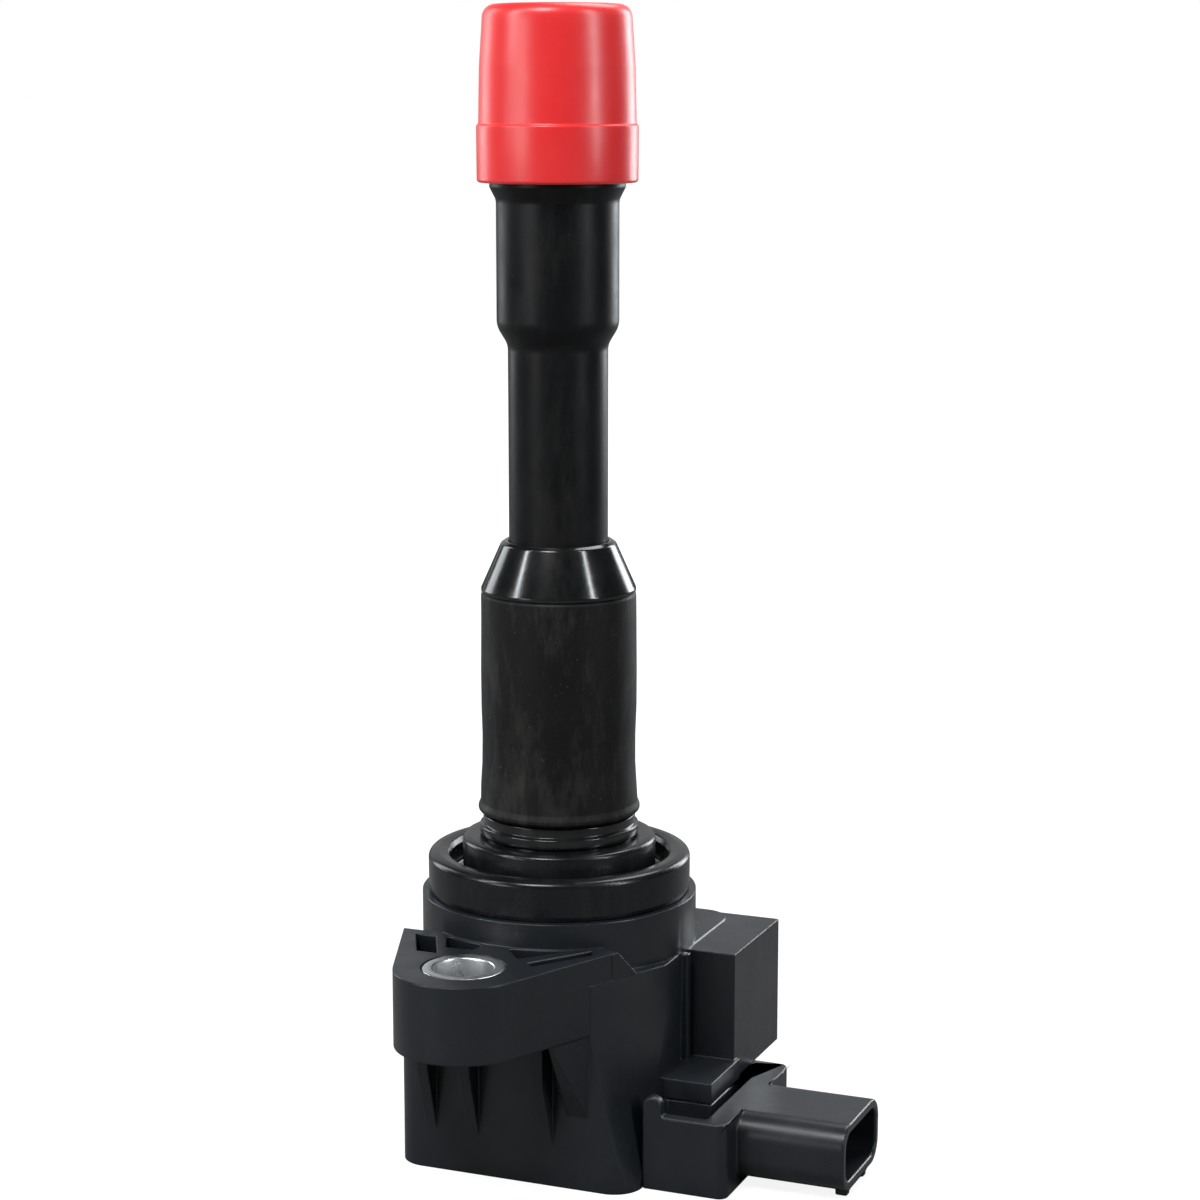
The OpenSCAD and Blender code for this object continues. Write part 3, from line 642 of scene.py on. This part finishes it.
def make_bolt_sleeve(materials):
    """Turned aluminium sleeve with bevelled ends and a fine rolled seam."""
    low, high = heights("bolt_sleeve")
    box_low, box_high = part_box("bolt_sleeve")
    centre = ((box_low.x + box_high.x) / 2 / MM, (box_low.y + box_high.y) / 2 / MM)
    outside = outer_radius("bolt_sleeve")
    bore = MOUNTS["bolt_hole"]["dims"]["r_mm"]
    seam_angle = 3.9
    seam_depth = 0.06

    def seam(angle, height, radius):
        """The rolled joint shows as a hairline on the bore."""
        return seam_depth if radius < bore + 0.2 and abs(angle - seam_angle) < 0.03 else 0

    outline = [(bore, low, 0.25), (outside, low, 0.35), (outside, high, 0.35), (bore, high, 0.25)]
    return piece("bolt_bush", lathe(rounded(outline), centre=centre, wobble=seam), "coil", "aluminium",
                 "bolt_sleeve", materials)


def make_contact_tip(materials):
    """Turned contact: a stem inside the spring, a collar that the spring pushes, and a dished head."""
    low, high = heights("contact_tip")
    stem, collar, head = 1.5, 2.9, 2.4
    collar_low = low + 3.0
    dish_floor = high - 0.6
    outline = [
        (0.0, low, 0), (stem - 0.2, low, 0.3), (stem, low + 0.5, 0.1), (stem, collar_low, 0.1),
        (collar, collar_low, 0.2), (collar, low + 3.8, 0.3), (head, low + 4.1, 0.2),
        (head, dish_floor, 0.3), (1.9, high, 0.3), (1.2, high, 0.2), (0.9, dish_floor, 0.1),
        (0.0, dish_floor, 0),
    ]
    return piece("contact_cup", lathe(rounded(outline), steps=SMALL_STEPS), "contact", "tinned_brass",
                 "contact_tip", materials)


def make_spring(name, node, radius, wire, turns, materials):
    """Coiled wire with closed ends; the first and last turns lie flat."""
    low, high = heights(node)
    low += wire
    high -= wire
    per_turn, sides = 36, 12
    closed = 1.0
    climb = 1.8 * wire
    pitch_turns = turns - 2 * closed
    bm = bmesh.new()
    rings = []
    for i in range(int(turns * per_turn) + 1):
        t = i / per_turn
        if t < closed:
            height = low + climb * t / closed
        elif t > turns - closed:
            height = high - climb * (turns - t) / closed
        else:
            height = low + climb + (high - low - 2 * climb) * (t - closed) / pitch_turns
        angle = 2 * math.pi * t
        out = Vector((math.cos(angle), math.sin(angle), 0))
        ring = []
        for k in range(sides):
            b = 2 * math.pi * k / sides
            p = out * (radius + wire * math.cos(b)) + Vector((0, 0, height + wire * math.sin(b)))
            ring.append(bm.verts.new(p * MM))
        rings.append(ring)
    for ring, following in zip(rings, rings[1:]):
        for k in range(sides):
            m = (k + 1) % sides
            bm.faces.new((ring[k], ring[m], following[m], following[k]))
    bm.faces.new(rings[0])
    bm.faces.new(rings[-1])
    return piece(name, bm, "coil", "spring_steel", node, materials, smooth_angle=50)


def dress_cad_nodes(materials):
    """Every CAD node that is still shown takes its slot's material and a fine edge."""
    for name, obj in NODES.items():
        obj.data.materials.clear()
        obj.data.materials.append(materials[SLOT_OF[name]])
        if obj.hide_render:
            continue
        obj.modifiers.new("join", "WELD").merge_threshold = WELD_GAP
        edge = obj.modifiers.new("edge", "BEVEL")
        edge.width = 0.08 * MM
        edge.segments = 2
        edge.limit_method = "ANGLE"
        edge.angle_limit = math.radians(35)


def main():
    bpy.context.scene.view_settings.view_transform = "Standard"
    add_camera()
    add_world()
    add_floor()
    add_lights()
    materials = make_materials()
    softened("housing", "head_shell", width=0.30, materials=materials, clamp=True)
    softened("connector_body", "connector_shell", width=0.26, materials=materials)
    make_cap(materials)
    make_boot(materials)
    make_tower(materials)
    make_sleeve(materials)
    make_seal(materials)
    make_bolt_sleeve(materials)
    make_contact_tip(materials)
    spring = make_spring("plug_spring", "contact_spring", radius=2.3, wire=0.4, turns=15,
                         materials=materials)
    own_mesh(spring)
    make_spring("terminal_spring", "lower_spring", radius=1.7, wire=0.35, turns=7, materials=materials)
    dress_cad_nodes(materials)


main()
